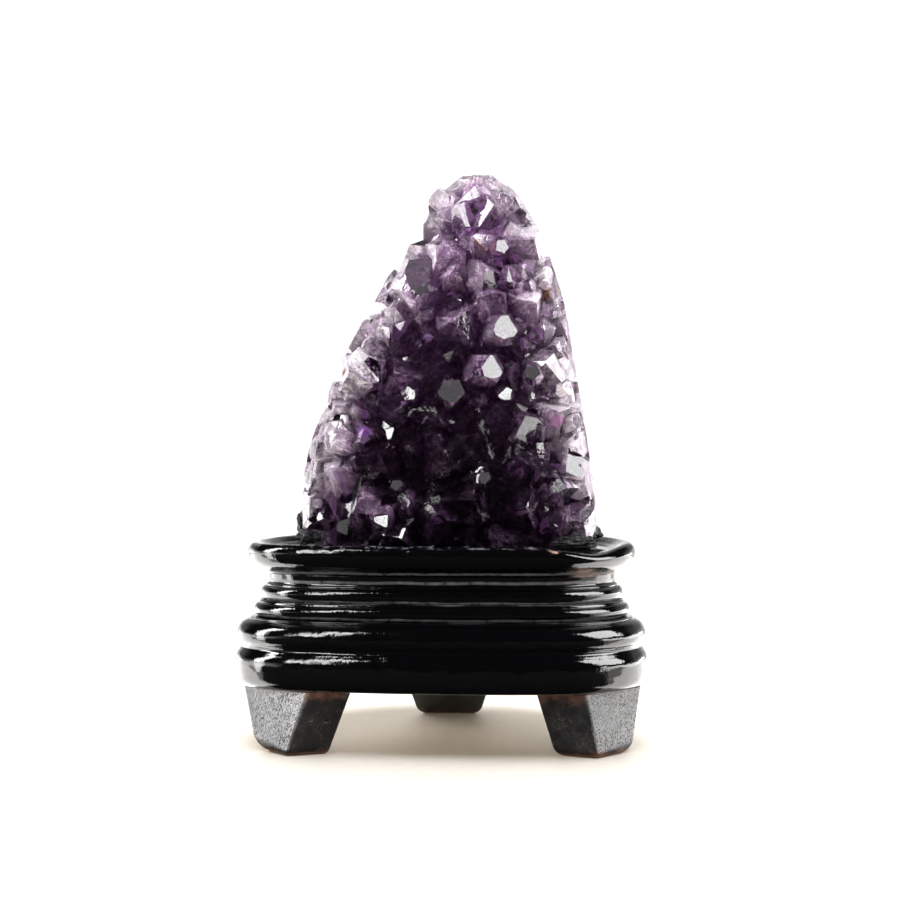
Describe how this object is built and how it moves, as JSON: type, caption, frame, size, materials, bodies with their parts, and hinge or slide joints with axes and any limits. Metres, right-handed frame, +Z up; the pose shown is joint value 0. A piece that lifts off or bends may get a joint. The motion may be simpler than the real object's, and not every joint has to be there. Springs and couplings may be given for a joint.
{
  "type": "amethyst cluster on stand",
  "caption": "Tall cut-base amethyst crystal cluster resting in the shallow tray of a black lacquered wooden display stand with a moulded body and tapered feet.",
  "frame": {"origin": "on the table, under the middle of the stand's widest outline", "axes": "+Z up, -Y the front that the crystals face, +X to the right as seen from the front"},
  "size_m": [0.1204, 0.084, 0.1675],
  "materials": {
    "amethyst": "clear to cloudy purple crystal with glassy faces",
    "gloss_lacquer": "thick mirror-gloss black lacquer over carved wood",
    "satin_lacquer": "thin satin black lacquer with open wood pores"
  },
  "bodies": {
    "root": {"amethyst_cluster": "amethyst", "top_tray": "gloss_lacquer", "waist": "gloss_lacquer", "plinth": "gloss_lacquer", "foot_front_left": "satin_lacquer", "foot_front_right": "satin_lacquer", "foot_back": "satin_lacquer"}
  },
  "joints": []
}
